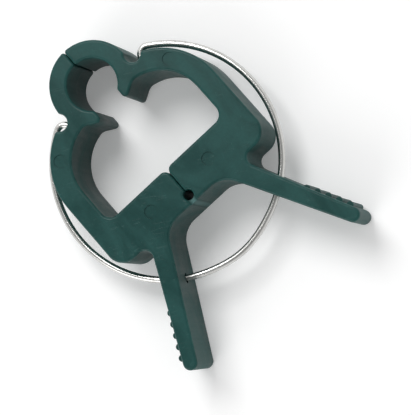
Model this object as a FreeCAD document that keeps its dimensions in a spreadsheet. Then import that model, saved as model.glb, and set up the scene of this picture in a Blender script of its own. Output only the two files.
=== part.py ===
import FreeCAD, Part
import math
import os
import Sketcher

# An orchid clip lying on its side: one moulding of two mirrored arms that a thin web joins,
# and an open ring of spring wire that closes them. Millimetres and degrees.
# The origin is at the centre of the ring, on the underside. Z runs along the stem that the
# clip holds, the jaws meet towards +Y and the two finger handles splay towards -Y.

DIMENSIONS = (
    ("clip_depth", 8.0, "thickness of the moulding along the stem"),
    ("seam_gap", 0.08, "air between the closed halves"),
    ("edge_radius", 0.3, "rounding of the moulding's outer edges"),
    ("overrun", 1.0, "how far a cut runs past the face it opens"),
    ("ring_radius", 13.5, "centre line of the spring ring"),
    ("wire_diameter", 0.8, "spring wire"),
    ("hook_bend_radius", 0.9, "bend of the wire into the waist"),
    ("wire_clearance", 0.2, "air around the wire in the handle's hole"),
    ("wire_end_air", 0.1, "air between the wire's end and its seat"),
    ("wire_end_chamfer", 0.12, "bevel of the cut wire ends"),
    ("ring_air", 0.5, "air between the ring and the jaw inside it"),
    ("shoulder_offset", 4.4, "the ring's centre to the centre of a shoulder's rounding"),
    ("shoulder_angle", 43.0, "direction of the shoulder's centre from the X axis"),
    ("jaw_wall", 2.6, "thickness of the jaw's curved wall"),
    ("base_drop", 1.5, "ring centre to the base's inner face"),
    ("base_thickness", 5.0, "inner face to underside of the base"),
    ("base_corner_radius", 2.0, "outer corner of the base"),
    ("inner_corner_radius", 1.2, "inner corner between base and wall"),
    ("tip_setback", 2.0, "the ring's centre line to the centre of the tip hole"),
    ("tip_wall", 2.1, "wall around the tip hole"),
    ("tip_hole_radius", 3.0, "hole for the stake or a thin stem"),
    ("neck_width", 3.6, "passage between the jaw and the tip hole"),
    ("neck_length", 1.7, "side of the neck, from the tip hole to the tongue's end"),
    ("tongue_slope_angle", 30.0, "slope of the tongue's lower side"),
    ("tongue_radius", 0.45, "rounding of the tongue's end"),
    ("jaw_crown_radius", 1.2, "inner rounding above the tongue's root"),
    ("seat_radius", 1.0, "groove at the waist for the hooked wire end"),
    ("seat_offset", 0.7, "the tip's outline to the groove's centre"),
    ("seat_lip_radius", 0.35, "rounding of the groove's lips"),
    ("handle_inset", 3.8, "the base's rounded corner to the handle's centre line"),
    ("handle_splay_angle", 27.0, "handle's slant away from the axis"),
    ("handle_length", 15.5, "root to tip along the handle"),
    ("handle_root_thickness", 2.4, "handle at its root"),
    ("handle_tip_thickness", 1.7, "handle at its tip"),
    ("handle_bury", 2.0, "length of the handle's root inside the base"),
    ("arch_share", 0.44, "of the underside between seam and handle that the arch's rounding takes"),
    ("heel_radius", 1.0, "rounding between the base and the handle's outer side"),
    ("grip_radius", 0.4, "half-round finger ridge on the handle"),
    ("grip_pitch", 1.3, "distance between finger ridges"),
    ("grip_count", 5, "finger ridges on each handle"),
    ("grip_end", 1.6, "handle's tip to its last ridge"),
    ("grip_inset", 0.7, "flat side of the handle to a ridge's end"),
    ("web_thickness", 0.45, "flexing web at its thinnest"),
    ("relief_radius", 0.6, "round relief above the web"),
    ("web_inset", 0.1, "the relief's side to the web's end"),
    ("nose_radius", 0.8, "rounding of the base halves at the seam"),
    ("tip_nose_radius", 0.3, "rounding of the jaw tips at the seam"),
    ("pin_mark_radius", 0.8, "round mark that an ejector pin leaves on the upper side"),
    ("pin_mark_depth", 0.1, "depth of an ejector mark"),
    ("pin_mark_inset", 4.4, "seam to the centre of the mark on the base"),
    ("pin_mark_angle", 40.0, "direction of the shoulder's mark from the X axis"),
)

SEAM = "Sizes.seam_gap / 2"
BASE_TOP = "-Sizes.base_drop"
BASE_BOTTOM = "-(Sizes.base_drop + Sizes.base_thickness)"
SHOULDER_X = "(Sizes.shoulder_offset * cos(Sizes.shoulder_angle))"
SHOULDER_Y = "(Sizes.shoulder_offset * sin(Sizes.shoulder_angle))"
SHOULDER_RADIUS = (
    "(Sizes.ring_radius - Sizes.wire_diameter / 2 - Sizes.ring_air - Sizes.shoulder_offset)"
)
SHOULDER_INNER_RADIUS = f"({SHOULDER_RADIUS} - Sizes.jaw_wall)"
NECK = "Sizes.neck_width / 2"
TIP_RADIUS = "(Sizes.tip_hole_radius + Sizes.tip_wall)"
TIP_Y = "(Sizes.ring_radius - Sizes.tip_setback)"
NECK_TOP = f"({TIP_Y} - sqrt(Sizes.tip_hole_radius^2 - ({NECK})^2))"
TONGUE_Y = f"({NECK_TOP} - Sizes.neck_length)"
BASE_CORNER_X = f"({SHOULDER_X} + {SHOULDER_RADIUS} - Sizes.base_corner_radius)"
HANDLE_X = f"({BASE_CORNER_X} - Sizes.handle_inset)"
HANDLE_INNER_X = (
    f"({HANDLE_X} - Sizes.handle_root_thickness / 2 / cos(Sizes.handle_splay_angle))"
)
ARCH_RADIUS = (
    f"(({HANDLE_INNER_X} - {SEAM}) * Sizes.arch_share * tan(45 + Sizes.handle_splay_angle / 2))"
)
MID_DEPTH = "Sizes.clip_depth / 2"
WIRE_RADIUS = "Sizes.wire_diameter / 2"
RELIEF_Y = f"{BASE_BOTTOM} + Sizes.web_thickness + Sizes.relief_radius"
WEB_END = "(Sizes.relief_radius - Sizes.web_inset)"

# The waist, where the outlines of tip and shoulder cross, as seen from the tip's centre:
# its direction is an angle from -Y, and the groove for the wire lies just outside it
TIP_TO_SHOULDER = f"sqrt(({TIP_Y} - {SHOULDER_Y})^2 + {SHOULDER_X}^2)"
WAIST_ANGLE = (
    f"(atan({SHOULDER_X} / ({TIP_Y} - {SHOULDER_Y}))"
    f" + acos(({TIP_RADIUS}^2 + {TIP_TO_SHOULDER}^2 - {SHOULDER_RADIUS}^2)"
    f" / (2 * {TIP_RADIUS} * {TIP_TO_SHOULDER})))"
)
SEAT_X = f"(({TIP_RADIUS} + Sizes.seat_offset) * sin({WAIST_ANGLE}))"
SEAT_Y = f"({TIP_Y} - ({TIP_RADIUS} + Sizes.seat_offset) * cos({WAIST_ANGLE}))"

# Each end of the ring lies at this angle from the clip's axis, in degrees, so that its
# bend turns the wire into the groove
SEAT_DISTANCE = f"sqrt({SEAT_X}^2 + {SEAT_Y}^2)"
RING_END_ANGLE = (
    f"((atan({SEAT_X} / {SEAT_Y}) + asin(Sizes.hook_bend_radius / {SEAT_DISTANCE})) / (1 deg))"
)
HOOK_REACH = (
    "(Sizes.ring_radius - Sizes.hook_bend_radius"
    f" - sqrt({SEAT_DISTANCE}^2 - Sizes.hook_bend_radius^2))"
)

SKETCH_ORIGIN = (-1, 1)
START, END, CENTRE = range(1, 4)  # the sketcher's numbers for a curve's points
NEAR_SHARE = 0.1  # of the edge rounding: how near an edge must lie to be the one meant
UP = FreeCAD.Vector(0, 0, 1)

doc = FreeCAD.newDocument("orchid_clip")
sizes = doc.addObject("Spreadsheet::Sheet", "Sizes")
for row, (name, value, note) in enumerate(DIMENSIONS, start=1):
    sizes.set(f"A{row}", note)
    sizes.set(f"B{row}", str(value))
    sizes.setAlias(f"B{row}", name)
doc.recompute()


def number(expression):
    """The present value of an expression on the sizes."""
    found = sizes.evalExpression(expression)
    return float(getattr(found, "Value", found))


def point(x, y):
    return FreeCAD.Vector(number(x), number(y), 0)


def line(start, end):
    return Part.LineSegment(start, end)


def arc(centre, radius, start, end):
    """An anticlockwise arc from start to end, both points."""
    def bearing(there):
        return FreeCAD.Vector(1, 0, 0).getAngle(there - centre) * (1 if there.y >= centre.y else -1)

    return Part.ArcOfCircle(Part.Circle(centre, UP, radius), bearing(start), bearing(end))


def add_body(label):
    body = doc.addObject("PartDesign::Body", label)
    body.Label = label
    return body


def attach(feature, body):
    plane = next(item for item in body.Origin.OriginFeatures if item.Role == "XY_Plane")
    feature.AttachmentSupport = [(plane, "")]
    feature.MapMode = "FlatFace"


def add_sketch(body, name, shapes):
    sketch = body.newObject("Sketcher::SketchObject", name)
    attach(sketch, body)
    for shape in shapes:
        sketch.addGeometry(shape, False)
    return sketch


def hold(sketch, kind, *where):
    sketch.addConstraint(Sketcher.Constraint(kind, *where))


def size(sketch, kind, *where, to):
    """A dimension that follows an expression on the sizes."""
    index = sketch.addConstraint(Sketcher.Constraint(kind, *where, number(to)))
    sketch.setExpression(f"Constraints[{index}]", to)


def angle(sketch, *where, to):
    turn = FreeCAD.Units.Quantity(f"{number(to)} deg")
    index = sketch.addConstraint(Sketcher.Constraint("Angle", *where, turn))
    sketch.setExpression(f"Constraints[{index}]", f"({to}) * 1 deg")


def pin(sketch, curve, place, x, y):
    size(sketch, "DistanceX", *SKETCH_ORIGIN, curve, place, to=x)
    size(sketch, "DistanceY", *SKETCH_ORIGIN, curve, place, to=y)


def chain(sketch, curves, closed=True):
    """Join each curve's end to the next one's start."""
    following = curves[1:] + curves[:1] if closed else curves[1:]
    for one, other in zip(curves, following):
        hold(sketch, "Coincident", one, END, other, START)


def work_out(feature):
    """Compute a feature, which must come out sound."""
    doc.recompute()
    if "Invalid" in feature.State or feature.Shape.isNull() or not feature.Shape.isValid():
        raise RuntimeError(f"{feature.Name} failed")


def work_out_cut(body, feature):
    before = body.Shape.Volume
    work_out(feature)
    if not feature.Shape.Volume < before:
        raise RuntimeError(f"{feature.Name} cuts nothing")


def pad(body, sketch, name, length="Sizes.clip_depth"):
    feature = body.newObject("PartDesign::Pad", name)
    feature.Profile = sketch
    feature.setExpression("Length", length)
    work_out(feature)


def pocket(body, sketch, name):
    feature = body.newObject("PartDesign::Pocket", name)
    feature.Profile = sketch
    feature.Type = "ThroughAll"
    feature.Reversed = True
    work_out_cut(body, feature)


def rectangle_pocket(body, name, low_x, high_x, low_y, high_y):
    corners = [point(low_x, low_y), point(high_x, low_y), point(high_x, high_y), point(low_x, high_y)]
    sides = [line(corners[i - 1], corners[i]) for i in range(len(corners))]
    sketch = add_sketch(body, f"{name}_sketch", sides)
    chain(sketch, [0, 1, 2, 3])
    hold(sketch, "Vertical", 0)
    hold(sketch, "Horizontal", 1)
    hold(sketch, "Vertical", 2)
    hold(sketch, "Horizontal", 3)
    pin(sketch, 0, END, low_x, low_y)
    pin(sketch, 2, END, high_x, high_y)
    pocket(body, sketch, name)


def circle_pocket(body, name, x, y, radius):
    centre = point(x, y)
    sketch = add_sketch(body, f"{name}_sketch", [Part.Circle(centre, UP, number(radius))])
    pin(sketch, 0, CENTRE, x, y)
    size(sketch, "Radius", 0, to=radius)
    pocket(body, sketch, name)


def near():
    """How close to a place an edge must lie to be the one that is meant."""
    return NEAR_SHARE * number("Sizes.edge_radius")


def upright_edges(shape, chosen):
    """Names of the straight edges along Z whose foot passes the test."""
    names = []
    for index, edge in enumerate(shape.Edges, start=1):
        ends = [vertex.Point for vertex in edge.Vertexes]
        if len(ends) != 2 or (ends[0] - ends[1]).cross(UP).Length > near():
            continue
        if chosen(FreeCAD.Vector(ends[0].x, ends[0].y, 0)):
            names.append(f"Edge{index}")
    return names


def at(*places):
    """A test for the edges that stand at one of these points."""
    return lambda foot: any((foot - place).Length < near() for place in places)


def fillet(body, name, edges, radius):
    if not edges:
        raise RuntimeError(f"{name} finds no edge")
    base = body.Tip
    feature = body.newObject("PartDesign::Fillet", name)
    feature.Base = (base, edges)
    feature.setExpression("Radius", radius)
    work_out(feature)


def jaw_half(body):
    """Jaw flank, shoulder and base of one side, down to the base's underside."""
    shoulder = point(SHOULDER_X, SHOULDER_Y)
    radius = number(SHOULDER_RADIUS)
    corner = number("Sizes.base_corner_radius")
    seam, bottom = number(SEAM), number(BASE_BOTTOM)
    flank = shoulder.x + radius
    crown = shoulder.y + (radius**2 - (shoulder.x - seam) ** 2) ** 0.5
    low_seam = FreeCAD.Vector(seam, bottom, 0)
    low_flank = FreeCAD.Vector(flank - corner, bottom, 0)
    side_low = FreeCAD.Vector(flank, bottom + corner, 0)
    side_high = FreeCAD.Vector(flank, shoulder.y, 0)
    high_seam = FreeCAD.Vector(seam, crown, 0)
    corner_centre = FreeCAD.Vector(low_flank.x, side_low.y, 0)
    sketch = add_sketch(
        body,
        "jaw_sketch",
        [
            line(low_seam, low_flank),
            arc(corner_centre, corner, low_flank, side_low),
            line(side_low, side_high),
            arc(shoulder, radius, side_high, high_seam),
            line(high_seam, low_seam),
        ],
    )
    hold(sketch, "Tangent", 0, END, 1, START)
    hold(sketch, "Tangent", 1, END, 2, START)
    hold(sketch, "Tangent", 2, END, 3, START)
    hold(sketch, "Coincident", 3, END, 4, START)
    hold(sketch, "Coincident", 4, END, 0, START)
    hold(sketch, "Horizontal", 0)
    hold(sketch, "Vertical", 2)
    hold(sketch, "Vertical", 4)
    size(sketch, "Radius", 1, to="Sizes.base_corner_radius")
    size(sketch, "Radius", 3, to=SHOULDER_RADIUS)
    pin(sketch, 0, START, SEAM, BASE_BOTTOM)
    pin(sketch, 3, CENTRE, SHOULDER_X, SHOULDER_Y)
    pad(body, sketch, "jaw")


def tip_half(body):
    """Half of the small round tip beyond the jaw."""
    centre = point("0", TIP_Y)
    radius = number(TIP_RADIUS)
    seam = number(SEAM)
    reach = (radius**2 - seam**2) ** 0.5
    low = FreeCAD.Vector(seam, centre.y - reach, 0)
    high = FreeCAD.Vector(seam, centre.y + reach, 0)
    sketch = add_sketch(body, "tip_sketch", [arc(centre, radius, low, high), line(high, low)])
    chain(sketch, [0, 1])
    hold(sketch, "Vertical", 1)
    size(sketch, "Radius", 0, to=TIP_RADIUS)
    pin(sketch, 0, CENTRE, "0", TIP_Y)
    size(sketch, "DistanceX", *SKETCH_ORIGIN, 1, START, to=SEAM)
    pad(body, sketch, "tip")


def handle_frame(feature, body):
    """Put a sketch in the handle's own frame: its root at the origin, -Y towards the tip."""
    attach(feature, body)
    feature.setExpression("AttachmentOffset.Base.x", HANDLE_X)
    feature.setExpression("AttachmentOffset.Base.y", BASE_BOTTOM)
    feature.setExpression("AttachmentOffset.Rotation.Angle", "Sizes.handle_splay_angle")


def handle(body):
    root = number("Sizes.handle_root_thickness / 2")
    tip = number("Sizes.handle_tip_thickness / 2")
    bury = number("Sizes.handle_bury")
    reach = number("Sizes.handle_length - Sizes.handle_tip_thickness / 2")
    inner_root = FreeCAD.Vector(-root, 0, 0)
    outer_root = FreeCAD.Vector(root, 0, 0)
    inner_tip = FreeCAD.Vector(-tip, -reach, 0)
    outer_tip = FreeCAD.Vector(tip, -reach, 0)
    inner_top = FreeCAD.Vector(-root, bury, 0)
    outer_top = FreeCAD.Vector(root, bury, 0)
    sketch = add_sketch(
        body,
        "handle_sketch",
        [
            line(inner_top, inner_root),
            line(inner_root, inner_tip),
            arc(FreeCAD.Vector(0, -reach, 0), tip, inner_tip, outer_tip),
            line(outer_tip, outer_root),
            line(outer_root, outer_top),
            line(outer_top, inner_top),
        ],
    )
    handle_frame(sketch, body)
    hold(sketch, "Coincident", 0, END, 1, START)
    hold(sketch, "Tangent", 1, END, 2, START)
    hold(sketch, "Tangent", 2, END, 3, START)
    chain(sketch, [3, 4, 5, 0], closed=False)
    hold(sketch, "Vertical", 0)
    hold(sketch, "Vertical", 4)
    hold(sketch, "Horizontal", 5)
    pin(sketch, 0, END, "-Sizes.handle_root_thickness / 2", "0")
    pin(sketch, 3, END, "Sizes.handle_root_thickness / 2", "0")
    pin(sketch, 2, CENTRE, "0", "Sizes.handle_tip_thickness / 2 - Sizes.handle_length")
    size(sketch, "Radius", 2, to="Sizes.handle_tip_thickness / 2")
    size(sketch, "DistanceY", *SKETCH_ORIGIN, 5, END, to="Sizes.handle_bury")
    pad(body, sketch, "handle")


def handle_roundings(body):
    """Round the corners where the handle leaves the underside of the base."""
    bottom = number(BASE_BOTTOM)
    seam = number(SEAM)
    root = number(HANDLE_X)

    def under_base(foot):
        return abs(foot.y - bottom) < near()

    inner = upright_edges(body.Shape, lambda foot: under_base(foot) and seam + near() < foot.x < root)
    fillet(body, "arch", inner, ARCH_RADIUS)
    corner = number(BASE_CORNER_X) - near()
    outer = upright_edges(body.Shape, lambda foot: under_base(foot) and root < foot.x < corner)
    fillet(body, "heel", outer, "Sizes.heel_radius")


def stem_opening(body):
    """Cut this side's half of the large opening that goes round the stem."""
    shoulder = point(SHOULDER_X, SHOULDER_Y)
    radius = number(SHOULDER_INNER_RADIUS)
    corner = number("Sizes.inner_corner_radius")
    floor_seam = point("-Sizes.overrun", BASE_TOP)
    tongue = point(NECK, TONGUE_Y)
    top_seam = point("-Sizes.overrun", TONGUE_Y)
    # The tongue's lower side slopes up until it meets the shoulder's inner arc
    slope = math.radians(number("Sizes.tongue_slope_angle"))
    uphill = FreeCAD.Vector(math.cos(slope), math.sin(slope), 0)
    offset = tongue - shoulder
    climb = -offset.dot(uphill) + (offset.dot(uphill) ** 2 - offset.Length**2 + radius**2) ** 0.5
    crown = tongue + uphill * climb
    wall = shoulder.x + radius
    floor_wall = FreeCAD.Vector(wall - corner, floor_seam.y, 0)
    wall_low = FreeCAD.Vector(wall, floor_seam.y + corner, 0)
    wall_high = FreeCAD.Vector(wall, shoulder.y, 0)
    corner_centre = FreeCAD.Vector(floor_wall.x, wall_low.y, 0)
    sketch = add_sketch(
        body,
        "opening_sketch",
        [
            line(floor_seam, floor_wall),
            arc(corner_centre, corner, floor_wall, wall_low),
            line(wall_low, wall_high),
            arc(shoulder, radius, wall_high, crown),
            line(tongue, crown),
            line(tongue, top_seam),
            line(top_seam, floor_seam),
        ],
    )
    hold(sketch, "Tangent", 0, END, 1, START)
    hold(sketch, "Tangent", 1, END, 2, START)
    hold(sketch, "Tangent", 2, END, 3, START)
    hold(sketch, "Coincident", 3, END, 4, END)
    hold(sketch, "Coincident", 4, START, 5, START)
    chain(sketch, [5, 6, 0], closed=False)
    hold(sketch, "Horizontal", 0)
    hold(sketch, "Vertical", 2)
    hold(sketch, "Horizontal", 5)
    hold(sketch, "Vertical", 6)
    size(sketch, "Radius", 1, to="Sizes.inner_corner_radius")
    size(sketch, "Radius", 3, to=SHOULDER_INNER_RADIUS)
    pin(sketch, 3, CENTRE, SHOULDER_X, SHOULDER_Y)
    pin(sketch, 0, START, "-Sizes.overrun", BASE_TOP)
    pin(sketch, 4, START, NECK, TONGUE_Y)
    angle(sketch, 4, to="Sizes.tongue_slope_angle")
    pocket(body, sketch, "opening")
    fillet(body, "jaw_crown", upright_edges(body.Shape, at(crown)), "Sizes.jaw_crown_radius")


def tip_opening(body):
    """Cut the neck and the round hole in the tip, and round the tongue between them."""
    rectangle_pocket(body, "neck", "-Sizes.overrun", NECK, f"{TONGUE_Y} - Sizes.overrun", TIP_Y)
    circle_pocket(body, "tip_hole", "0", TIP_Y, "Sizes.tip_hole_radius")
    tongue_low = point(NECK, TONGUE_Y)
    tongue_high = point(NECK, NECK_TOP)
    edges = upright_edges(body.Shape, at(tongue_low, tongue_high))
    fillet(body, "tongue", edges, "Sizes.tongue_radius")


def wire_seat(body):
    """Cut the groove at the waist where the hooked end of the wire pulls."""
    circle_pocket(body, "seat", SEAT_X, SEAT_Y, "Sizes.seat_radius")
    centre = point(SEAT_X, SEAT_Y)
    radius = number("Sizes.seat_radius")
    lips = upright_edges(body.Shape, lambda foot: abs((foot - centre).Length - radius) < near())
    fillet(body, "seat_lips", lips, "Sizes.seat_lip_radius")


def hinge_relief(body):
    """Clear the space of the web and the round relief above it."""
    rectangle_pocket(
        body,
        "web_slot",
        "-Sizes.overrun",
        WEB_END,
        f"{BASE_BOTTOM} - Sizes.overrun",
        RELIEF_Y,
    )
    circle_pocket(body, "relief", "0", RELIEF_Y, "Sizes.relief_radius")


def seam_noses(body):
    """Round the corners of the butting faces where they meet the openings."""
    nose = at(point(SEAM, BASE_TOP))
    fillet(body, "base_nose", upright_edges(body.Shape, nose), "Sizes.nose_radius")
    outer = point(SEAM, f"{TIP_Y} + sqrt({TIP_RADIUS}^2 - ({SEAM})^2)")
    inner = point(SEAM, f"{TIP_Y} + sqrt(Sizes.tip_hole_radius^2 - ({SEAM})^2)")
    edges = upright_edges(body.Shape, at(outer, inner))
    fillet(body, "tip_noses", edges, "Sizes.tip_nose_radius")


def soften_edges(body):
    """Round every edge of the two flat sides, as a mould leaves them."""
    levels = (0.0, number("Sizes.clip_depth"))
    names = []
    for index, edge in enumerate(body.Shape.Edges, start=1):
        box = edge.BoundBox
        if any(abs(box.ZMin - level) < near() and abs(box.ZMax - level) < near() for level in levels):
            names.append(f"Edge{index}")
    fillet(body, "soft_edges", names, "Sizes.edge_radius")


def pin_mark(body, name, x, y):
    """Press a shallow round mark into the upper side."""
    mark = Part.Circle(point(x, y), UP, number("Sizes.pin_mark_radius"))
    sketch = add_sketch(body, f"{name}_sketch", [mark])
    sketch.setExpression("AttachmentOffset.Base.z", "Sizes.clip_depth - Sizes.pin_mark_depth")
    pin(sketch, 0, CENTRE, x, y)
    size(sketch, "Radius", 0, to="Sizes.pin_mark_radius")
    pocket(body, sketch, name)


def ejector_marks(body):
    """Mark where two pins pushed each half out of the mould, on the base and the shoulder."""
    pin_mark(body, "base_mark", "Sizes.pin_mark_inset", f"{BASE_TOP} - Sizes.base_thickness / 2")
    reach = f"({SHOULDER_RADIUS} - Sizes.jaw_wall / 2)"
    mark_x = f"{SHOULDER_X} + {reach} * cos(Sizes.pin_mark_angle)"
    mark_y = f"{SHOULDER_Y} + {reach} * sin(Sizes.pin_mark_angle)"
    pin_mark(body, "shoulder_mark", mark_x, mark_y)


def wire_hole(body):
    """Drill the handle along the ring, with air around the wire."""
    cut = body.newObject("PartDesign::SubtractiveTorus", "wire_hole")
    attach(cut, body)
    cut.setExpression("AttachmentOffset.Base.z", MID_DEPTH)
    cut.setExpression("AttachmentOffset.Rotation.Angle", f"90 + {RING_END_ANGLE}")
    cut.setExpression("Radius1", "Sizes.ring_radius")
    cut.setExpression("Radius2", f"{WIRE_RADIUS} + Sizes.wire_clearance")
    cut.setExpression("Angle3", f"360 - 2 * {RING_END_ANGLE}")
    work_out_cut(body, cut)


def finger_grip(body):
    """Raise half-round ridges on the outer side of the handle, near its tip."""
    down = "(Sizes.handle_length - Sizes.grip_end)"
    taper = "(Sizes.handle_root_thickness - Sizes.handle_tip_thickness) / 2"
    face = f"Sizes.handle_root_thickness / 2 - {taper} * {down} / Sizes.handle_length"
    ridge = Part.Circle(point(face, f"-{down}"), UP, number("Sizes.grip_radius"))
    sketch = add_sketch(body, "grip_sketch", [ridge])
    handle_frame(sketch, body)
    sketch.setExpression("AttachmentOffset.Base.z", "Sizes.grip_inset")
    pin(sketch, 0, CENTRE, face, f"-{down}")
    size(sketch, "Radius", 0, to="Sizes.grip_radius")
    pad(body, sketch, "grip_ridge", "Sizes.clip_depth - 2 * Sizes.grip_inset")
    rows = body.newObject("PartDesign::LinearPattern", "grip_rows")
    rows.Originals = [doc.getObject("grip_ridge")]
    rows.Direction = (sketch, ["V_Axis"])
    rows.setExpression("Occurrences", "Sizes.grip_count")
    rows.setExpression("Length", "Sizes.grip_pitch * (Sizes.grip_count - 1)")
    body.Tip = rows
    work_out(rows)


def make_right_arm():
    body = add_body("right_arm")
    jaw_half(body)
    tip_half(body)
    handle(body)
    handle_roundings(body)
    stem_opening(body)
    tip_opening(body)
    wire_seat(body)
    hinge_relief(body)
    seam_noses(body)
    soften_edges(body)
    ejector_marks(body)
    wire_hole(body)
    finger_grip(body)
    return body


def make_left_arm(right_arm):
    """The left arm mirrors the right one across the seam."""
    arm = doc.addObject("Part::Mirroring", "left_arm")
    arm.Label = "left_arm"
    arm.Source = right_arm
    arm.Base = FreeCAD.Vector(0, 0, 0)
    arm.Normal = FreeCAD.Vector(1, 0, 0)
    doc.recompute()
    return arm


def make_living_hinge():
    """The thin web that joins the arms, between the roundings of their flat sides.

    The round relief hollows it on the jaw's side.
    """
    body = add_body("living_hinge")
    end_top = f"{RELIEF_Y} - sqrt(Sizes.relief_radius^2 - {WEB_END}^2)"
    low_left = point(f"-{WEB_END}", BASE_BOTTOM)
    low_right = point(WEB_END, BASE_BOTTOM)
    high_right = point(WEB_END, end_top)
    high_left = point(f"-{WEB_END}", end_top)
    sketch = add_sketch(
        body,
        "web_sketch",
        [
            line(low_left, low_right),
            line(low_right, high_right),
            arc(point("0", RELIEF_Y), number("Sizes.relief_radius"), high_left, high_right),
            line(high_left, low_left),
        ],
    )
    chain(sketch, [0, 1], closed=False)
    hold(sketch, "Coincident", 1, END, 2, END)
    hold(sketch, "Coincident", 2, START, 3, START)
    hold(sketch, "Coincident", 3, END, 0, START)
    hold(sketch, "Horizontal", 0)
    hold(sketch, "Vertical", 1)
    hold(sketch, "Vertical", 3)
    pin(sketch, 0, START, f"-{WEB_END}", BASE_BOTTOM)
    size(sketch, "DistanceX", *SKETCH_ORIGIN, 0, END, to=WEB_END)
    pin(sketch, 2, CENTRE, "0", RELIEF_Y)
    size(sketch, "Radius", 2, to="Sizes.relief_radius")
    sketch.setExpression("AttachmentOffset.Base.z", "Sizes.edge_radius")
    pad(body, sketch, "web", "Sizes.clip_depth - 2 * Sizes.edge_radius")
    return body


def bevel_wire_ends(body):
    """Bevel the cut ends, which are the only flat faces of the wire."""
    cuts = [face for face in body.Shape.Faces if isinstance(face.Surface, Part.Plane)]
    rims = [edge for face in cuts for edge in face.Edges]
    names = [
        f"Edge{index}"
        for index, edge in enumerate(body.Shape.Edges, start=1)
        if any(edge.isSame(rim) for rim in rims)
    ]
    base = body.Tip
    bevel = body.newObject("PartDesign::Chamfer", "wire_end_bevel")
    bevel.Base = (base, names)
    bevel.setExpression("Size", "Sizes.wire_end_chamfer")
    work_out_cut(body, bevel)


def make_spring_ring():
    """The open ring of wire, with both ends bent in towards the waist."""
    body = add_body("spring_ring")
    turn = math.radians(number(RING_END_ANGLE))
    ring = number("Sizes.ring_radius")
    bend = number("Sizes.hook_bend_radius")
    half_width = f"Sizes.ring_radius * sin({RING_END_ANGLE})"
    end_reach = f"sqrt((Sizes.seat_radius - Sizes.wire_end_air)^2 - ({WIRE_RADIUS})^2)"
    straight = number(f"{HOOK_REACH} + {end_reach}")
    outward = FreeCAD.Vector(math.sin(turn), math.cos(turn), 0)
    across = FreeCAD.Vector(-math.cos(turn), math.sin(turn), 0)
    ring_end = outward * ring
    bend_centre = ring_end - outward * bend
    bend_end = bend_centre + across * bend
    wire_end = bend_end - outward * straight

    def mirrored(there):
        return FreeCAD.Vector(-there.x, there.y, 0)

    path = add_sketch(
        body,
        "wire_path",
        [
            line(wire_end, bend_end),
            arc(bend_centre, bend, ring_end, bend_end),
            arc(FreeCAD.Vector(0, 0, 0), ring, mirrored(ring_end), ring_end),
            arc(mirrored(bend_centre), bend, mirrored(bend_end), mirrored(ring_end)),
            line(mirrored(bend_end), mirrored(wire_end)),
        ],
    )
    path.setExpression("AttachmentOffset.Base.z", MID_DEPTH)
    hold(path, "Tangent", 0, END, 1, END)
    hold(path, "Tangent", 1, START, 2, END)
    hold(path, "Tangent", 2, START, 3, END)
    hold(path, "Tangent", 3, START, 4, START)
    pin(path, 2, CENTRE, "0", "0")
    size(path, "Radius", 2, to="Sizes.ring_radius")
    size(path, "Radius", 1, to="Sizes.hook_bend_radius")
    hold(path, "Equal", 1, 3)
    size(path, "DistanceX", *SKETCH_ORIGIN, 2, END, to=half_width)
    size(path, "DistanceX", 2, START, *SKETCH_ORIGIN, to=half_width)
    angle(path, 0, to=f"90 - {RING_END_ANGLE}")
    angle(path, 4, to=f"{RING_END_ANGLE} - 90")
    size(path, "Distance", 0, to=f"{HOOK_REACH} + {end_reach}")
    hold(path, "Equal", 0, 4)
    doc.recompute()

    section = body.newObject("Sketcher::SketchObject", "wire_section")
    section.AttachmentSupport = [(path, "Edge1")]
    section.MapMode = "NormalToEdge"
    section.addGeometry(Part.Circle(FreeCAD.Vector(0, 0, 0), UP, number(WIRE_RADIUS)), False)
    hold(section, "Coincident", 0, CENTRE, *SKETCH_ORIGIN)
    size(section, "Radius", 0, to=WIRE_RADIUS)
    doc.recompute()
    wire = body.newObject("PartDesign::AdditivePipe", "wire")
    wire.Profile = section
    wire.Spine = (path, [f"Edge{index + 1}" for index in range(path.GeometryCount)])
    work_out(wire)
    bevel_wire_ends(body)
    return body


right_arm = make_right_arm()
pieces = [right_arm, make_left_arm(right_arm), make_living_hinge(), make_spring_ring()]
doc.recompute()

for item in doc.Objects:
    if "Invalid" in item.State or "Error" in item.State:
        raise RuntimeError(f"{item.Name} failed: {item.State}")
    if item.isDerivedFrom("Sketcher::SketchObject") and not item.FullyConstrained:
        raise RuntimeError(f"{item.Name} isn't fully constrained")
for piece in pieces:
    shape = piece.Shape
    if shape.isNull() or not shape.isValid() or len(shape.Solids) != 1:
        raise RuntimeError(f"{piece.Label} is not one valid solid")

os.makedirs("parts", exist_ok=True)
for piece in pieces:
    piece.Shape.exportStep(f"parts/{piece.Label}.step")
    box = piece.Shape.optimalBoundingBox(True, False)
    extents = f"{box.XLength:.2f} x {box.YLength:.2f} x {box.ZLength:.2f} mm"
    print(f"{piece.Label}: {piece.Shape.Volume:.1f} mm3, {extents}")
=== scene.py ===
import bmesh
import bpy
import math
from mathutils import Matrix, Quaternion, Vector


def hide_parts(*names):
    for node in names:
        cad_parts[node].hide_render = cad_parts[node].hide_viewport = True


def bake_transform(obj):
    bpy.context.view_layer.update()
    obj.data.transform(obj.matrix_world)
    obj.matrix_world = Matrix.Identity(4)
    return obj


# An orchid clip that lies flat on a pale table, seen from above with its jaws to the upper left.
# Metres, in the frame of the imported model: Z along the stem, jaws to +Y, handles to -Y.

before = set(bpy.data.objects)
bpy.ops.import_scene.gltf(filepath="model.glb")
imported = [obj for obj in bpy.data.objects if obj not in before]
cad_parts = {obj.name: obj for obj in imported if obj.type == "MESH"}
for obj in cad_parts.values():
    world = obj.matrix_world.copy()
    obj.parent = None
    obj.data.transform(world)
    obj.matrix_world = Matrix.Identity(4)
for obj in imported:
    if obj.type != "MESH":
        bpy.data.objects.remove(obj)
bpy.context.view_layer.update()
mm = 0.001
clipDepth = 8 * mm
print("frame loaded:", ", ".join(sorted(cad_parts)))


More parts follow.
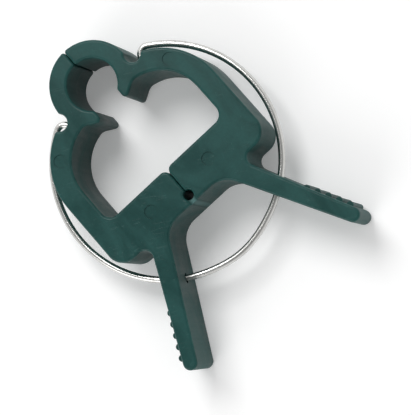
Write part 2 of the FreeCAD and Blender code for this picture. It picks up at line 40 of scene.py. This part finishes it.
# Helpers for shader nodes. A value is a plain number or colour, or the socket of another node.

def setOrLink(tree, socket, value):
    if isinstance(value, bpy.types.NodeSocket):
        tree.links.new(value, socket)
    else:
        socket.default_value = value


def calc(tree, operation, first, second=0.0, third=0.0, clamp=False):
    node = tree.nodes.new("ShaderNodeMath")
    node.operation = operation
    node.use_clamp = clamp
    for socket, value in zip(node.inputs, (first, second, third)):
        setOrLink(tree, socket, value)
    return node.outputs[0]


def vectorCalc(tree, operation, first, second=(0.0, 0.0, 0.0)):
    node = tree.nodes.new("ShaderNodeVectorMath")
    node.operation = operation
    setOrLink(tree, node.inputs[0], first)
    setOrLink(tree, node.inputs[1], second)
    return node.outputs["Value" if operation == "LENGTH" else "Vector"]


def fade(tree, value, low, high, start=0.0, end=1.0):
    # Goes smoothly from start to end while the value goes from low to high
    node = tree.nodes.new("ShaderNodeMapRange")
    node.interpolation_type = "SMOOTHSTEP"
    for name, number in (("Value", value), ("From Min", low), ("From Max", high),
                         ("To Min", start), ("To Max", end)):
        setOrLink(tree, node.inputs[name], number)
    return node.outputs["Result"]


def noise(tree, vector, scale, detail=2.0, roughness=0.5, distortion=0.0):
    node = tree.nodes.new("ShaderNodeTexNoise")
    for name, value in (("Vector", vector), ("Scale", scale), ("Detail", detail),
                        ("Roughness", roughness), ("Distortion", distortion)):
        setOrLink(tree, node.inputs[name], value)
    return node.outputs["Fac"]


def mixColour(tree, share, first, second):
    # A Mix node has its two colours at sockets 6 and 7, and the mixed colour at output 2
    node = tree.nodes.new("ShaderNodeMix")
    node.data_type = "RGBA"
    setOrLink(tree, node.inputs[0], share)
    setOrLink(tree, node.inputs[6], first)
    setOrLink(tree, node.inputs[7], second)
    return node.outputs[2]


def millimetres(tree):
    # Object coordinates in millimetres
    place = tree.nodes.new("ShaderNodeTexCoord")
    node = tree.nodes.new("ShaderNodeVectorMath")
    node.operation = "SCALE"
    tree.links.new(place.outputs["Object"], node.inputs[0])
    node.inputs["Scale"].default_value = 1 / mm
    return node.outputs[0]


def split(tree, vector):
    node = tree.nodes.new("ShaderNodeSeparateXYZ")
    tree.links.new(vector, node.inputs[0])
    return node.outputs


def join(tree, x, y, z):
    node = tree.nodes.new("ShaderNodeCombineXYZ")
    for socket, value in zip(node.inputs, (x, y, z)):
        setOrLink(tree, socket, value)
    return node.outputs[0]


def newGroup(name, inputs, outputs):
    tree = bpy.data.node_groups.new(name, "ShaderNodeTree")
    for socketName, kind, value in inputs:
        socket = tree.interface.new_socket(name=socketName, in_out="INPUT", socket_type=kind)
        socket.default_value = value
    for socketName, kind in outputs:
        tree.interface.new_socket(name=socketName, in_out="OUTPUT", socket_type=kind)
    given = tree.nodes.new("NodeGroupInput").outputs
    wanted = tree.nodes.new("NodeGroupOutput").inputs
    return tree, given, wanted


def useGroup(tree, group, **values):
    node = tree.nodes.new("ShaderNodeGroup")
    node.node_tree = group
    for name, value in values.items():
        setOrLink(tree, node.inputs[name.replace("_", " ")], value)
    return node.outputs


def newMaterial(name, **constants):
    # A material whose Principled BSDF has these plain values
    material = bpy.data.materials.new(name)
    material.use_nodes = True
    tree = material.node_tree
    shader = next(node for node in tree.nodes if node.type == "BSDF_PRINCIPLED")
    for socketName, value in constants.items():
        shader.inputs[socketName.replace("_", " ")].default_value = value
    return material, tree, shader


def addBump(tree, shader, height, strength, distance):
    node = tree.nodes.new("ShaderNodeBump")
    node.inputs["Strength"].default_value = strength
    node.inputs["Distance"].default_value = distance
    tree.links.new(height, node.inputs["Height"])
    tree.links.new(node.outputs["Normal"], shader.inputs["Normal"])


def addObject(name, data):
    piece = bpy.data.objects.new(name, data)
    bpy.context.scene.collection.objects.link(piece)
    return piece


# Fine scratches: thin level lines of a noise that is drawn out along one direction

scratchShape = {
    "drawnOut": (0.12, 1.7, 1.1),     # the noise's steps along, across and up, per millimetre
    "patchScale": 0.8,                # patches that have scratches, between bare ones
}


def makeScratches():
    tree, given, wanted = newGroup(
        "fineScratches",
        [("Place", "NodeSocketVector", (0, 0, 0)),
         ("Turn", "NodeSocketFloat", 0.5),
         ("Width", "NodeSocketFloat", 0.004),
         ("Cover", "NodeSocketFloat", 0.5)],
        [("Mask", "NodeSocketFloat")],
    )
    turned = tree.nodes.new("ShaderNodeVectorRotate")
    turned.rotation_type = "Z_AXIS"
    tree.links.new(given["Place"], turned.inputs["Vector"])
    tree.links.new(given["Turn"], turned.inputs["Angle"])
    drawnOut = vectorCalc(tree, "MULTIPLY", turned.outputs["Vector"], scratchShape["drawnOut"])
    fromMiddle = calc(tree, "SUBTRACT", noise(tree, drawnOut, 1.0, detail=1.0), 0.5)
    line = calc(tree, "LESS_THAN", calc(tree, "ABSOLUTE", fromMiddle), given["Width"])
    patches = noise(tree, given["Place"], scratchShape["patchScale"])
    shown = calc(tree, "LESS_THAN", patches, given["Cover"])
    tree.links.new(calc(tree, "MULTIPLY", line, shown), wanted["Mask"])
    return tree


fineScratches = makeScratches()


# Skin of moulded plastic: flow marks, fine grain, drag marks and a parting line on the walls,
# and paler, smoother rims. Scales are per millimetre, widths in millimetres.

mouldSkin = {
    "flowStretch": (1.0, 0.45, 0.6),
    "flowScale": 0.17,
    "flowSwirl": 1.6,
    "flowShadeRange": (0.32, 0.70),
    "flowDarkening": 0.30,
    "flowGlossRange": (0.30, 0.70),
    "flowRoughness": (-0.07, 0.08),
    "grainScale": 3.2,
    "grainShadeRange": (0.30, 0.75),
    "grainShade": (0.93, 1.06),
    "grainHeight": 0.35,
    "swellScale": 0.7,
    "wallFacing": (0.1, 0.5),         # how far up or down a surface faces: a wall, and no wall
    "wallRoughness": 0.10,
    "dragStretch": (1.0, 1.0, 0.05),  # drawn down the walls as the part leaves the mould
    "dragScale": 2.4,
    "dragRoughness": 0.12,
    "dragHeight": 0.8,
    "partingWidth": 0.07,             # half the width of the line where the mould's halves met
    "partingPaleness": 0.25,
    "partingHeight": 1.2,
    "rimBand": (0.42, 0.03),          # from the flat sides: where the rims begin, and are full
    "rimFacing": (0.35, 0.98),
    "rimPatchScale": 0.9,
    "rimPatches": (0.34, 0.62),
    "rimPolish": 0.12,
    "scratchSets": ((0.5, 0.004), (2.1, 0.003)),    # turn in radians, and width
    "scratchCover": 0.46,
    "scratchPaleness": 0.22,
    "scratchRoughness": 0.10,
    "scratchDepth": 0.5,
}


def makeMouldSkin():
    look = mouldSkin
    tree, given, wanted = newGroup(
        "mouldedSkin",
        [("Colour", "NodeSocketColor", (0.02, 0.07, 0.07, 1)),
         ("Rim Colour", "NodeSocketColor", (0.05, 0.12, 0.12, 1)),
         ("Rim Wear", "NodeSocketFloat", 0.5),
         ("Roughness", "NodeSocketFloat", 0.4)],
        [("Colour", "NodeSocketColor"),
         ("Roughness", "NodeSocketFloat"),
         ("Height", "NodeSocketFloat")],
    )
    place = millimetres(tree)
    facing = tree.nodes.new("ShaderNodeNewGeometry").outputs["Normal"]
    upward = calc(tree, "ABSOLUTE", split(tree, facing)["Z"])
    half = clipDepth / 2 / mm
    fromMiddle = calc(tree, "ABSOLUTE", calc(tree, "SUBTRACT", split(tree, place)["Z"], half))
    # Flow of the melt, in long faint streaks, with a fine grain over it
    flow = noise(tree, vectorCalc(tree, "MULTIPLY", place, look["flowStretch"]),
                 look["flowScale"], detail=3.0, roughness=0.6, distortion=look["flowSwirl"])
    grain = noise(tree, place, look["grainScale"], detail=3.0, roughness=0.6)
    swell = noise(tree, place, look["swellScale"], detail=1.0)
    # Scratches in two directions
    masks = [useGroup(tree, fineScratches, Place=place, Turn=turn, Width=width,
                      Cover=look["scratchCover"])["Mask"] for turn, width in look["scratchSets"]]
    scratch = calc(tree, "MAXIMUM", *masks)
    # Walls: drag marks, and the parting line half way up
    wall = fade(tree, upward, *look["wallFacing"], 1.0, 0.0)
    drag = noise(tree, vectorCalc(tree, "MULTIPLY", place, look["dragStretch"]),
                 look["dragScale"], detail=3.0, roughness=0.7)
    drag = calc(tree, "MULTIPLY", drag, wall)
    parting = fade(tree, fromMiddle, 0.0, look["partingWidth"], 1.0, 0.0)
    parting = calc(tree, "MULTIPLY", parting, wall)
    # Rims: the rounded edges near both flat sides, worn in patches
    begin, full = look["rimBand"]
    band = fade(tree, fromMiddle, half - begin, half - full)
    slanted = fade(tree, upward, *look["rimFacing"], 1.0, 0.0)
    patches = noise(tree, place, look["rimPatchScale"], detail=4.0)
    patches = fade(tree, patches, *look["rimPatches"])
    rim = calc(tree, "MULTIPLY", calc(tree, "MULTIPLY", band, slanted), patches)
    rim = calc(tree, "MULTIPLY", rim, given["Rim Wear"], clamp=True)
    # Colour: darker in the flow's streaks, speckled by the grain, paler where it is worn
    shaded = given["Colour"]
    for shade in (fade(tree, flow, *look["flowShadeRange"], 1.0 - look["flowDarkening"], 1.0),
                  fade(tree, grain, *look["grainShadeRange"], *look["grainShade"])):
        shaded = vectorCalc(tree, "MULTIPLY", shaded, join(tree, shade, shade, shade))
    coloured = mixColour(tree, rim, shaded, given["Rim Colour"])
    marked = calc(tree, "MAXIMUM", calc(tree, "MULTIPLY", scratch, look["scratchPaleness"]),
                  calc(tree, "MULTIPLY", parting, look["partingPaleness"]))
    tree.links.new(mixColour(tree, marked, coloured, given["Rim Colour"]), wanted["Colour"])
    # Roughness and height: what each mark adds or takes away
    gloss = fade(tree, flow, *look["flowGlossRange"], *look["flowRoughness"])
    rough = calc(tree, "ADD", given["Roughness"], gloss)
    for mark, change in ((wall, look["wallRoughness"]), (drag, look["dragRoughness"]),
                         (rim, -look["rimPolish"]), (scratch, look["scratchRoughness"])):
        rough = calc(tree, "MULTIPLY_ADD", mark, change, rough)
    tree.links.new(rough, wanted["Roughness"])
    height = swell
    for mark, change in ((grain, look["grainHeight"]), (drag, look["dragHeight"]),
                         (parting, look["partingHeight"]), (scratch, -look["scratchDepth"])):
        height = calc(tree, "MULTIPLY_ADD", mark, change, height)
    tree.links.new(height, wanted["Height"])
    return tree


mouldedSkin = makeMouldSkin()
print("shared surface effects made")


# The two arms: dark blue-green polypropylene, with its softly glossy moulded skin

armPlastic = {
    "colour": (0.010, 0.065, 0.059, 1),
    "rimColour": (0.042, 0.138, 0.126, 1),
    "rimWear": 0.65,
    "roughness": 0.35,
    "ior": 1.49,
    "specularLevel": 0.25,
    "bumpStrength": 0.35,
    "bumpDistance": 0.03 * mm,
}


def makePlastic(name, values):
    material, tree, shader = newMaterial(name, IOR=values["ior"],
                                         Specular_IOR_Level=values["specularLevel"])
    skin = useGroup(tree, mouldedSkin, Colour=values["colour"], Rim_Colour=values["rimColour"],
                    Rim_Wear=values["rimWear"], Roughness=values["roughness"])
    tree.links.new(skin["Colour"], shader.inputs["Base Color"])
    tree.links.new(skin["Roughness"], shader.inputs["Roughness"])
    addBump(tree, shader, skin["Height"], values["bumpStrength"], values["bumpDistance"])
    return material, tree, shader, skin["Colour"]


armMaterial = makePlastic("clip_plastic", armPlastic)[0]
for nodeName in ("left_arm", "right_arm"):
    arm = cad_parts[nodeName]
    arm.data.materials.clear()
    arm.data.materials.append(armMaterial)
print("arms dressed")


# The web between the arms: the same plastic, paler where the bending has strained it

web = {
    "end": 0.5 * mm,                  # half its width, from arm to arm
    "bottom": -6.5 * mm,
    "reliefHeight": -5.45 * mm,       # centre of the round relief above it
    "reliefRadius": 0.6 * mm,
    "inset": 0.3 * mm,                # between the roundings of the arms' flat sides
    "stepsAcross": 20,
    "stepsUp": 3,
    "sharpAngle": math.radians(40),
    "strained": (0.075, 0.165, 0.16, 1),
    "strainRange": (0.1, 0.45),       # millimetres from its middle
    "strainPaleness": 0.75,
}
webPlastic = dict(armPlastic, rimWear=0.2, roughness=0.45, bumpStrength=0.3)


def makeWeb():
    mesh = bpy.data.meshes.new("hinge_web")
    bm = bmesh.new()
    # A square from -0.5 to 0.5, shaped into the web's underside and then extruded to its depth
    bmesh.ops.create_grid(bm, x_segments=web["stepsAcross"], y_segments=web["stepsUp"], size=0.5)
    for vertex in bm.verts:
        x = 2 * web["end"] * vertex.co.x
        top = web["reliefHeight"] - math.sqrt(web["reliefRadius"] ** 2 - x ** 2)
        y = web["bottom"] + (vertex.co.y + 0.5) * (top - web["bottom"])
        vertex.co = (x, y, web["inset"])
    grown = bmesh.ops.extrude_face_region(bm, geom=bm.faces[:])
    raised = [item for item in grown["geom"] if isinstance(item, bmesh.types.BMVert)]
    bmesh.ops.translate(bm, verts=raised, vec=(0, 0, clipDepth - 2 * web["inset"]))
    bmesh.ops.recalc_face_normals(bm, faces=bm.faces[:])
    for face in bm.faces:
        face.smooth = True
    bm.to_mesh(mesh)
    bm.free()
    mesh.set_sharp_from_angle(angle=web["sharpAngle"])
    return addObject("hinge_web", mesh)


def makeWebMaterial():
    material, tree, shader, skinColour = makePlastic("hinge_plastic", webPlastic)
    sideways = calc(tree, "ABSOLUTE", split(tree, millimetres(tree))["X"])
    strain = fade(tree, sideways, *web["strainRange"], web["strainPaleness"], 0.0)
    paler = mixColour(tree, strain, skinColour, web["strained"])
    tree.links.new(paler, shader.inputs["Base Color"])
    return material


hingeWeb = makeWeb()
hingeWeb.data.materials.append(makeWebMaterial())
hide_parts("living_hinge")
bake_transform(hingeWeb)
print("web made")


# The spring ring: bright drawn wire with two hooked, bevelled ends

ring = {
    "radius": 13.5 * mm,              # to the middle of the wire
    "wireRadius": 0.4 * mm,
    "endAngle": math.radians(32.0389),     # each end, from the clip's axis
    "bendRadius": 0.9 * mm,
    "hookToGroove": 0.2839 * mm,      # straight wire up to the middle of the groove at the waist
    "hookInGroove": 0.8062 * mm,
    "endBevel": 0.12 * mm,
    "sides": 24,
    "ringSteps": 110,
    "bendSteps": 10,
    "flexHalfWidth": 5.7 * mm,        # the lower arc between the handles bends
    "lowerSag": 0.16 * mm,            # and hangs this much lower, so that it stays more even then
    "sagPower": 3,
    "mergeDistance": 0.001 * mm,
    "sharpAngle": math.radians(35),
}


def makeRing():
    middle = clipDepth / 2
    outward = Vector((math.sin(ring["endAngle"]), math.cos(ring["endAngle"]), 0))
    bendCentre = outward * (ring["radius"] - ring["bendRadius"])
    hookLength = ring["hookToGroove"] + ring["hookInGroove"]
    mesh = bpy.data.meshes.new("spring_wire")
    bm = bmesh.new()
    # The wire's section at the lowest point of the ring, then swept round one side
    placed = Matrix.Translation((0, -ring["radius"], middle))
    placed = placed @ Matrix.Rotation(math.pi / 2, 4, "Y")
    circle = bmesh.ops.create_circle(bm, segments=ring["sides"], radius=ring["wireRadius"],
                                     matrix=placed)
    section = circle["verts"] + bm.edges[:]
    for centre, angle, steps in (
            ((0, 0, middle), math.pi - ring["endAngle"], ring["ringSteps"]),
            ((bendCentre.x, bendCentre.y, middle), math.pi / 2, ring["bendSteps"])):
        swept = bmesh.ops.spin(bm, geom=section, cent=centre, axis=(0, 0, 1), dvec=(0, 0, 0),
                               angle=angle, steps=steps, use_merge=False, use_duplicate=False)
        section = swept["geom_last"]
    # The straight hook and its bevelled cut end
    for length, share in ((hookLength - ring["endBevel"], 1.0),
                          (ring["endBevel"], 1 - ring["endBevel"] / ring["wireRadius"])):
        edges = [item for item in section if isinstance(item, bmesh.types.BMEdge)]
        section = bmesh.ops.extrude_edge_only(bm, edges=edges)["geom"]
        verts = [item for item in section if isinstance(item, bmesh.types.BMVert)]
        bmesh.ops.translate(bm, verts=verts, vec=-outward * length)
        tip = sum((vertex.co for vertex in verts), Vector()) / len(verts)
        bmesh.ops.scale(bm, verts=verts, vec=(share, share, share),
                        space=Matrix.Translation(-tip))
    edges = [item for item in section if isinstance(item, bmesh.types.BMEdge)]
    bmesh.ops.edgeloop_fill(bm, edges=edges)
    # The other side
    bmesh.ops.mirror(bm, geom=bm.verts[:] + bm.edges[:] + bm.faces[:],
                     matrix=Matrix.Identity(4), merge_dist=ring["mergeDistance"], axis="X")
    bmesh.ops.remove_doubles(bm, verts=bm.verts[:], dist=ring["mergeDistance"])
    bmesh.ops.recalc_face_normals(bm, faces=bm.faces[:])
    for vertex in bm.verts:
        across = abs(vertex.co.x) / ring["flexHalfWidth"]
        if vertex.co.y < 0 and across < 1:
            vertex.co.y -= ring["lowerSag"] * (1 - across ** 2) ** ring["sagPower"]
    for face in bm.faces:
        face.smooth = True
    bm.to_mesh(mesh)
    bm.free()
    mesh.set_sharp_from_angle(angle=ring["sharpAngle"])
    return addObject("spring_wire", mesh)


# Steel: streaks from the drawing of the wire, dull patches and scratches

ringSteel = {
    "colour": (0.62, 0.62, 0.60, 1),
    "dullColour": (0.42, 0.41, 0.39, 1),
    "roughness": 0.24,
    "dullRoughness": 0.18,
    "streakScales": (14.0, 9.0, 9.0),      # for one turn of the ring, and per millimetre
    "streakRange": (0.52, 0.70),
    "streakDulling": 0.30,
    "stainScale": 0.45,
    "stainRange": (0.50, 0.72),
    "stainDulling": 0.55,
    "scratchTurn": 1.2,
    "scratchWidth": 0.012,
    "scratchCover": 0.45,
    "scratchDepth": 0.4,
    "bumpStrength": 0.35,
    "bumpDistance": 0.02 * mm,
}


def makeSteel():
    look = ringSteel
    material, tree, shader = newMaterial("spring_steel", Metallic=1.0)
    place = millimetres(tree)
    axes = split(tree, place)
    turn = tree.nodes.new("ShaderNodeTexGradient")
    turn.gradient_type = "RADIAL"
    tree.links.new(place, turn.inputs["Vector"])
    reach = vectorCalc(tree, "LENGTH", join(tree, axes["X"], axes["Y"], 0.0))
    around, outwards, upwards = look["streakScales"]
    alongWire = join(tree, calc(tree, "MULTIPLY", turn.outputs["Fac"], around),
                     calc(tree, "MULTIPLY", reach, outwards),
                     calc(tree, "MULTIPLY", axes["Z"], upwards))
    drawn = noise(tree, alongWire, 1.0, detail=4.0, roughness=0.65)
    stain = noise(tree, place, look["stainScale"], detail=3.0, distortion=0.8)
    scratch = useGroup(tree, fineScratches, Place=place, Turn=look["scratchTurn"],
                       Width=look["scratchWidth"], Cover=look["scratchCover"])["Mask"]
    dull = calc(tree, "ADD", fade(tree, stain, *look["stainRange"], 0.0, look["stainDulling"]),
                fade(tree, drawn, *look["streakRange"], 0.0, look["streakDulling"]), clamp=True)
    dulled = mixColour(tree, dull, look["colour"], look["dullColour"])
    tree.links.new(dulled, shader.inputs["Base Color"])
    rough = calc(tree, "MULTIPLY_ADD", dull, look["dullRoughness"], look["roughness"])
    tree.links.new(rough, shader.inputs["Roughness"])
    height = calc(tree, "MULTIPLY_ADD", scratch, -look["scratchDepth"], drawn)
    addBump(tree, shader, height, look["bumpStrength"], look["bumpDistance"])
    return material


springWire = makeRing()
springWire.data.materials.append(makeSteel())
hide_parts("spring_ring")
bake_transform(springWire)
print("ring made")


# The table: pale enough to read as white to the camera, while it keeps the clip's shadow

table = {
    "size": 3.0,
    "colour": (0.90, 0.90, 0.90, 1),
    "roughness": 0.8,
    "lift": 0.16,
}


def makeTable():
    mesh = bpy.data.meshes.new("table_top")
    bm = bmesh.new()
    bmesh.ops.create_grid(bm, x_segments=1, y_segments=1, size=table["size"] / 2)
    bm.to_mesh(mesh)
    bm.free()
    material, tree, shader = newMaterial("table_white", Roughness=table["roughness"],
                                         Base_Color=table["colour"],
                                         Emission_Color=(1, 1, 1, 1))
    path = tree.nodes.new("ShaderNodeLightPath")
    seen = calc(tree, "ADD", path.outputs["Is Camera Ray"], path.outputs["Is Glossy Ray"])
    seen = calc(tree, "ADD", seen, path.outputs["Is Transmission Ray"], clamp=True)
    lift = calc(tree, "MULTIPLY", seen, table["lift"])
    tree.links.new(lift, shader.inputs["Emission Strength"])
    mesh.materials.append(material)
    addObject("table_top", mesh)


makeTable()


# Two large soft lamps and a white room

clipCentre = Vector((0, -2 * mm, 4 * mm))
lamps = {
    "key_light": {"place": (0.06, 0.21, 0.34), "size": 0.22, "power": 0.90},
    "fill_light": {"place": (-0.30, -0.12, 0.22), "size": 0.30, "power": 0.41},
}


def addLamp(name, values):
    lamp = bpy.data.lights.new(name, "AREA")
    lamp.shape = "DISK"
    lamp.size = values["size"]
    lamp.energy = values["power"]
    holder = addObject(name, lamp)
    holder.location = values["place"]
    holder.rotation_euler = (clipCentre - holder.location).to_track_quat("-Z", "Y").to_euler()


for lampName, lampValues in lamps.items():
    addLamp(lampName, lampValues)

room = {
    "lightStrength": 0.45,
    "overhead": 0.30,                 # what gloss sees straight above, as a share of the walls
    "wallsToCeiling": (0.25, 0.95),   # how far up a ray points: still the walls, and the ceiling
}


def makeRoom():
    world = bpy.data.worlds.new("studio_white")
    bpy.context.scene.world = world
    world.use_nodes = True
    tree = world.node_tree
    background = next(node for node in tree.nodes if node.type == "BACKGROUND")
    path = tree.nodes.new("ShaderNodeLightPath")
    reflected = calc(tree, "ADD", path.outputs["Is Glossy Ray"],
                     path.outputs["Is Transmission Ray"], clamp=True)
    upward = split(tree, tree.nodes.new("ShaderNodeTexCoord").outputs["Generated"])["Z"]
    walls = fade(tree, upward, *room["wallsToCeiling"], 1.0, room["overhead"])
    # The light's own strength, the room in reflections, and white for the camera
    more = calc(tree, "SUBTRACT", walls, room["lightStrength"])
    level = calc(tree, "MULTIPLY_ADD", reflected, more, room["lightStrength"])
    level = calc(tree, "MAXIMUM", level, path.outputs["Is Camera Ray"])
    background.inputs["Color"].default_value = (1, 1, 1, 1)
    tree.links.new(level, background.inputs["Strength"])


makeRoom()


# The camera looks down steeply, and is rolled so that the jaws are at the upper left

camera = {
    "azimuth": 37.0,
    "elevation": 76.0,
    "roll": -79.0,        # degrees about the line of sight
    "lens": 180.0,
    "distance": 0.235,
    "aim": (0.0 * mm, -7.1 * mm, 4.0 * mm),
    "near": 0.01,
    "far": 20,
}


def makeCamera():
    eye = bpy.data.cameras.new("camera")
    eye.lens = camera["lens"]
    eye.clip_start = camera["near"]
    eye.clip_end = camera["far"]
    around = math.radians(camera["azimuth"])
    above = math.radians(camera["elevation"])
    back = Vector((math.sin(around) * math.cos(above), -math.cos(around) * math.cos(above),
                   math.sin(above)))
    holder = addObject("camera", eye)
    holder.location = Vector(camera["aim"]) + back * camera["distance"]
    upright = (-back).to_track_quat("-Z", "Y")
    rolled = upright @ Quaternion((0, 0, 1), math.radians(camera["roll"]))
    holder.rotation_euler = rolled.to_euler()
    bpy.context.scene.camera = holder


makeCamera()
bpy.context.scene.view_settings.view_transform = "Standard"
print("table, lamps, room and camera set")
